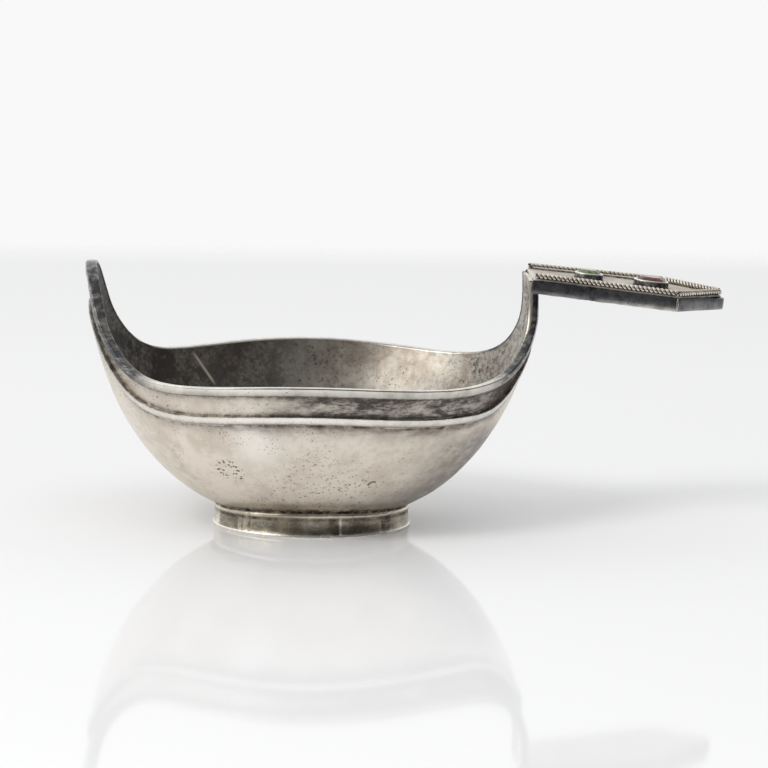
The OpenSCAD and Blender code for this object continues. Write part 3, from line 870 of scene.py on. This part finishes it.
def build_point_strip():
    count = 34
    a = np.array([STRAIGHT + 0.1, -SHOULDER_W])
    b = np.array([STRAIGHT + POINT, -TIP_W])
    way = (b - a) / np.linalg.norm(b - a)
    path = [a + (b - a) * f for f in np.linspace(0, 0.96, count)]
    inside = [[-way[1], way[0]] for _ in path]
    # a round bend over the blunt tip
    corner = path[-1]
    heading = math.atan2(way[1], way[0])
    reach = -corner[1] / math.cos(heading)
    for f in np.linspace(0.08, 0.92, 13):
        turn = heading + (math.pi - 2 * heading) * f
        past = reach * (math.sin(turn) - math.sin(heading))
        path.append(np.array([corner[0] + past, -reach * math.cos(turn)]))
        inside.append([-math.sin(turn), math.cos(turn)])
    for k in range(count - 1, -1, -1):
        path.append(path[k] * (1, -1))
        inside.append([-way[1], -way[0]])
    path = np.array(path)
    to_tip = unit((path[:, 0] - STRAIGHT) / POINT)
    gap = 0.05 + 0.42 * unit((to_tip - 0.35) / 0.65)
    rings = strip_rings(path, inside, -TOP_T - SIDE_H + 0.12 * to_tip, -TOP_T - gap, 0.3, 0.3)
    points, faces = handle_sweep(rings)
    masks = strip_masks(rings, 30)
    add_mesh("point_strip_piece", points, faces, [SILVER_PAINTED_DARK], "point_strip", masks)


def build_rope(name, start, end):
    """Two strands twisted together along a straight edge."""
    start, end = np.array(start), np.array(end)
    run = float(np.linalg.norm(end - start))
    way = (end - start) / run
    across = np.array([-way[1], way[0]])
    turns = run / ROPE_PITCH
    f = np.linspace(0, 1, int(turns * 18) + 1)
    strand, reach = ROPE_D * 0.27, ROPE_D * 0.255
    around = np.linspace(0, 2 * math.pi, 10, endpoint=False)[:, None]
    strands = []
    for first in (0, math.pi):
        rings = []
        for k, phase in enumerate(first + 2 * math.pi * turns * f):
            taper = min(1, 0.75 + 3 * min(f[k], 1 - f[k]) * run / 4)
            e1 = np.array([0, math.cos(phase), math.sin(phase)])
            sideways = np.array([0, -math.sin(phase), math.cos(phase)])
            tangent = np.array([run / turns, 0, 0]) + reach * 2 * math.pi * sideways
            e2 = np.cross(tangent / np.linalg.norm(tangent), e1)
            centre = np.array([f[k] * run, 0, 0]) + reach * e1
            rings.append(centre + strand * taper * (np.cos(around) * e1 + np.sin(around) * e2))
        p, faces = sweep(np.array(rings))
        s = start[0] + way[0] * p[:, 0] + across[0] * p[:, 1]
        w = start[1] + way[1] * p[:, 0] + across[1] * p[:, 1]
        world = on_handle(s, w, p[:, 2] + ROPE_D / 2 - 0.06)
        strands.append((world, outward(world, faces)))
    points, faces = joined(strands)
    # darker in the twist, on the sides of the strands that face each other
    dirt_and_shade = np.tile(unit(1.15 - 1.4 * np.cos(around[:, 0])), 2 * len(f))
    add_mesh(name + "_twist", points, faces, [SILVER_ROPE], name, {"dirt_and_shade": dirt_and_shade}, 60)


def build_inner_wire(side):
    inset = ROPE_D + 0.5
    s = np.linspace(1.2, STRAIGHT - 0.4, 60)
    middle = side * (half_width(s, inset) + 0.08 * wander(s * 0.3, side * 2.0, 5.0))
    arc = np.linspace(0, math.pi, 9)
    w = middle[:, None] + 0.33 * np.cos(arc)
    rings = np.stack([s[:, None] + 0 * w, w, 0.58 * np.sin(arc) - 0.02 + 0 * w], -1)
    points, faces = handle_sweep(rings)
    name = "inner_wire_near" if side < 0 else "inner_wire_far"
    dirt_and_shade = np.tile(np.where(np.sin(arc) < 0.4, 0.9, 0.1), len(s))
    add_mesh(name + "_piece", points, faces, [SILVER_ROPE], name, {"dirt_and_shade": dirt_and_shade}, 60)


def build_bezel(name, s, r):
    cols = 96
    a = np.linspace(0, 2 * math.pi, cols, endpoint=False)
    top = BEZEL_H
    prof = [(r * 0.6, 0.0), (r - 0.05, 0.0), (r, 0.06), (r - 0.02, 0.6), (r - 0.04, top - 0.55),
            (r - 0.07, top - 0.3), (r - 0.1, top - 0.2), (r - 0.16, top - 0.07), (r - 0.26, top),
            (r - 0.38, top - 0.02), (r - 0.48, top - 0.1), (r - 0.5, top - 0.3), (r - 0.5, 0.5),
            (r * 0.5, 0.46)]
    rings, dirt_and_shade, rub_and_highlight = [], [], []
    for k, (q, h) in enumerate(prof):
        spots = np.c_[np.cos(a) * 1.6, np.sin(a) * 1.6, np.full(cols, s + k * 0.15)]
        out = 0.04 * np.array([noise.noise(Vector(p)) for p in spots])
        rings.append(np.stack([s + (q + out) * np.cos(a), (q + out) * np.sin(a), np.full(cols, h)], -1))
        dirt_and_shade.append(np.full(cols, 1.0 if h < top - 0.5 else (0.7 if h < top - 0.25 else 0.0)))
        rub_and_highlight.append(np.full(cols, 0.9 if h > top - 0.25 else 0.0))
    rows = len(rings)
    last, end = (rows - 1) * cols, rows * cols
    points = np.concatenate([np.array(rings).reshape(-1, 3), [[s, 0, 0.0]], [[s, 0, 0.45]]])
    faces = grid_faces(rows, cols, wrap=True)
    for i in range(cols):
        k = (i + 1) % cols
        faces += [(i, k, end), (last + k, last + i, end + 1)]
    world = on_handle(*points.T)
    masks = {"dirt_and_shade": np.concatenate(dirt_and_shade + [np.ones(2)]), "rub_and_highlight": np.concatenate(rub_and_highlight + [np.zeros(2)])}
    add_mesh(name + "_cup", world, outward(world, faces), [SILVER_BEZEL], name, masks)


def build_stone(name, s, r, mat, rise):
    """A cut stone: girdle, main and star facets, flat table."""
    girdle = r - 0.53
    base = BEZEL_H - 0.12
    n = 8
    points, faces = [], []

    def ring(radius, height, count, turn):
        start = len(points)
        for i in range(count):
            a = 2 * math.pi * (i + turn) / count
            points.append([s + radius * math.cos(a), radius * math.sin(a), height])
        return start

    low = ring(girdle * 0.5, 0.55, n, 0)
    g0 = ring(girdle, base - 0.5, 2 * n, 0)
    g1 = ring(girdle, base, 2 * n, 0)
    mid = ring(girdle * 0.82, base + rise * 0.6, n, 0)
    table = ring(girdle * 0.58, base + rise, n, 0.5)
    faces.append(tuple(low + i for i in range(n))[::-1])
    for i in range(n):
        k = (i + 1) % n
        a, b, c = 2 * i, 2 * i + 1, (2 * i + 2) % (2 * n)
        faces += [(low + i, g0 + b, g0 + a), (low + i, low + k, g0 + b), (low + k, g0 + c, g0 + b)]
        for p, q in ((a, b), (b, c)):
            faces.append((g0 + p, g0 + q, g1 + q, g1 + p))
        faces += [(g1 + a, g1 + b, mid + i), (g1 + b, g1 + c, mid + k)]
        faces += [(g1 + b, mid + k, table + i), (g1 + b, table + i, mid + i)]
        faces.append((mid + k, table + k, table + i))
    faces.append(tuple(table + i for i in range(n)))
    world = on_handle(*np.array(points).T)
    add_mesh(name + "_cut", world, outward(world, faces), [mat], name, {}, 0)


def build_object():
    build_bowl()
    for side, where in ((-1, "near"), (1, "far")):
        build_moulding(f"rim_strip_{where}_piece", side, True)
        build_moulding(f"lower_moulding_{where}_piece", side, False)
        build_side_strip(side)
        build_inner_wire(side)
        w0, w1 = side * (ROOT_W - ROPE_D / 2), side * (SHOULDER_W - ROPE_D / 2)
        tip = (STRAIGHT + POINT - 1.2, side * (TIP_W - 0.15))
        build_rope(f"rope_{where}", (0.2, w0), (STRAIGHT - 0.3, w1))
        build_rope(f"rope_point_{where}", (STRAIGHT + 0.15, w1 - side * 0.1), tip)
    build_foot()
    low = -TOP_T - SIDE_H
    tip = STRAIGHT + POINT
    build_sheet("plate_top_sheet", "plate_top", 0.0, tip - 1.0, 0.0, -TOP_T, 0.0, 0.10, lap=0.7)
    build_sheet("plate_bottom_sheet", "plate_bottom", 1.5, tip - PLATE_T, PLATE_T, low, low + PLATE_T, 0.06)
    build_point_strip()
    build_bezel("green_bezel", GREEN_S, GREEN_R)
    build_bezel("red_bezel", RED_S, RED_R)
    build_stone("green_stone", GREEN_S, GREEN_R, GREEN, 0.75)
    build_stone("red_stone", RED_S, RED_R, RED, 0.8)


build_object()


# ---- Stage, light and camera ----
def stage_sheet(name, x0, x1, y0, y1, z, material):
    """A flat rectangle of the stage, in metres."""
    mesh = bpy.data.meshes.new(name)
    mesh.from_pydata([(x0, y0, z), (x1, y0, z), (x1, y1, z), (x0, y1, z)], [], [(0, 1, 2, 3)])
    mesh.materials.append(material)
    obj = bpy.data.objects.new(name, mesh)
    bpy.context.scene.collection.objects.link(obj)
    return obj


def only_in_gloss(obj):
    for ray in ("camera", "diffuse", "shadow", "transmission", "volume_scatter"):
        setattr(obj, "visible_" + ray, False)


def point_at(obj, place, aim):
    obj.location = place
    obj.rotation_euler = (Vector(aim) - Vector(place)).to_track_quat("-Z", "Y").to_euler()


def build_stage():
    n = Nodes("floor_gloss")
    n.finish((0.86, 0.865, 0.875, 1.0), 0.05)
    n.bsdf.inputs["IOR"].default_value = 1.15
    # the floor's far edge fades into the backdrop
    n.put(n.fall(n.along((0, 1, 0)), 560.0, 655.0), n.bsdf.inputs["Alpha"])
    stage_sheet("floor", -3, 3, -3, 0.66, 0, n.mat)
    # a dark sheet on the floor in front, seen only in reflections, where it stands in for the dark room in
    # front
    n = Nodes("dark_reflection_sheet")
    n.finish((0.02, 0.02, 0.022, 1.0), 0.9)
    only_in_gloss(stage_sheet("dark_reflection_sheet", -2, 2, -3, -0.25, 0.0002, n.mat))


def area_light(name, place, aim, size, power, colour=(1, 1, 1)):
    """A soft light that leaves no highlight of its own."""
    data = bpy.data.lights.new(name, "AREA")
    data.energy = power
    data.color = colour
    data.size = size
    obj = bpy.data.objects.new(name, data)
    point_at(obj, place, aim)
    obj.visible_glossy = False
    bpy.context.scene.collection.objects.link(obj)


def glow_panel(name, place, aim, wide, tall, strength):
    """A soft box that only the polished metal sees."""
    n = Nodes(name)
    n.finish((0.0, 0.0, 0.0, 1.0), 1.0)
    n.bsdf.inputs["Emission Color"].default_value = (1.0, 0.985, 0.96, 1.0)
    n.bsdf.inputs["Emission Strength"].default_value = strength
    obj = stage_sheet(name, -wide / 2, wide / 2, -tall / 2, tall / 2, 0, n.mat)
    point_at(obj, place, aim)
    only_in_gloss(obj)


def build_light():
    area_light("key", (-0.57, -0.71, 0.85), (0.03, 0, 0.02), 0.38, 5.2, (1.0, 0.99, 0.97))
    area_light("front_fill", (0.0, -1.0, 1.7), (0, 0, 0), 1.2, 6.3)
    glow_panel("soft_box", (-0.92, -0.38, 0.60), (0.02, 0, 0.03), 0.95, 0.6, 2.2)


def build_world():
    """Plain to the camera, even for diffuse light, and brighter above, behind and left in reflections."""
    world = bpy.data.worlds.new("studio")
    bpy.context.scene.world = world
    world.use_nodes = True
    tree = world.node_tree
    tree.nodes.clear()

    def add(kind, **settings):
        node = tree.nodes.new(kind)
        for key, value in settings.items():
            setattr(node, key, value)
        return node

    def calc(operation, a, b):
        node = add("ShaderNodeMath", operation=operation)
        for k, v in enumerate((a, b)):
            if isinstance(v, bpy.types.NodeSocket):
                tree.links.new(v, node.inputs[k])
            else:
                node.inputs[k].default_value = v
        return node.outputs[0]

    coord = add("ShaderNodeTexCoord")
    split = add("ShaderNodeSeparateXYZ")
    tree.links.new(coord.outputs["Generated"], split.inputs[0])
    x, y, z = split.outputs
    left = calc("POWER", calc("MAXIMUM", calc("MULTIPLY", x, -1.0), 0.0), 2.0)
    back = calc("MAXIMUM", y, 0.0)
    up = calc("POWER", calc("MAXIMUM", z, 0.0), 2.0)
    level = calc("ADD", calc("MULTIPLY", back, 0.95), calc("MULTIPLY", up, 0.55))
    level = calc("ADD", 0.07, calc("ADD", calc("MULTIPLY", left, 0.6), level))

    def background(colour, strength=None):
        node = add("ShaderNodeBackground")
        node.inputs["Color"].default_value = (*colour, 1)
        if strength is not None:
            tree.links.new(strength, node.inputs["Strength"])
        return node.outputs[0]

    def choose(factor, a, b):
        node = add("ShaderNodeMixShader")
        for k, socket in enumerate((factor, a, b)):
            tree.links.new(socket, node.inputs[k])
        return node.outputs[0]

    path = add("ShaderNodeLightPath")
    soft = background((1, 1, 1), level)
    even = background((0.67, 0.67, 0.675))
    plain = background((0.95, 0.945, 0.948))
    lit = choose(path.outputs["Is Diffuse Ray"], soft, even)
    out = add("ShaderNodeOutputWorld")
    tree.links.new(choose(path.outputs["Is Camera Ray"], lit, plain), out.inputs[0])


def build_camera():
    # focal is in units of a frame 768 wide, where one millimetre of the object takes up 4.237
    focal, frame_width = 3540.9, 768
    elevation, yaw, roll = math.radians(8.0), math.radians(2.13), math.radians(-0.98)
    aim = Vector((16.69, 0, 33.14)) * MM
    distance = focal / 4.237 * MM
    level = math.cos(elevation)
    forward = Vector((math.sin(yaw) * level, math.cos(yaw) * level, -math.sin(elevation)))
    right = Vector((math.cos(yaw), -math.sin(yaw), 0))
    up = right.cross(forward)
    cam_right = math.cos(roll) * right - math.sin(roll) * up
    cam_up = math.sin(roll) * right + math.cos(roll) * up
    data = bpy.data.cameras.new("camera")
    data.sensor_width = 36.0
    data.lens = focal / frame_width * data.sensor_width
    data.clip_start, data.clip_end = 0.05, 20.0
    cam = bpy.data.objects.new("camera", data)
    m = Matrix((cam_right, cam_up, -forward)).transposed().to_4x4()
    m.translation = aim - forward * distance
    cam.matrix_world = m
    bpy.context.scene.collection.objects.link(cam)
    bpy.context.scene.camera = cam


build_stage()
build_light()
build_world()
build_camera()
bpy.context.scene.view_settings.view_transform = "Standard"
bpy.context.scene.view_settings.look = "None"
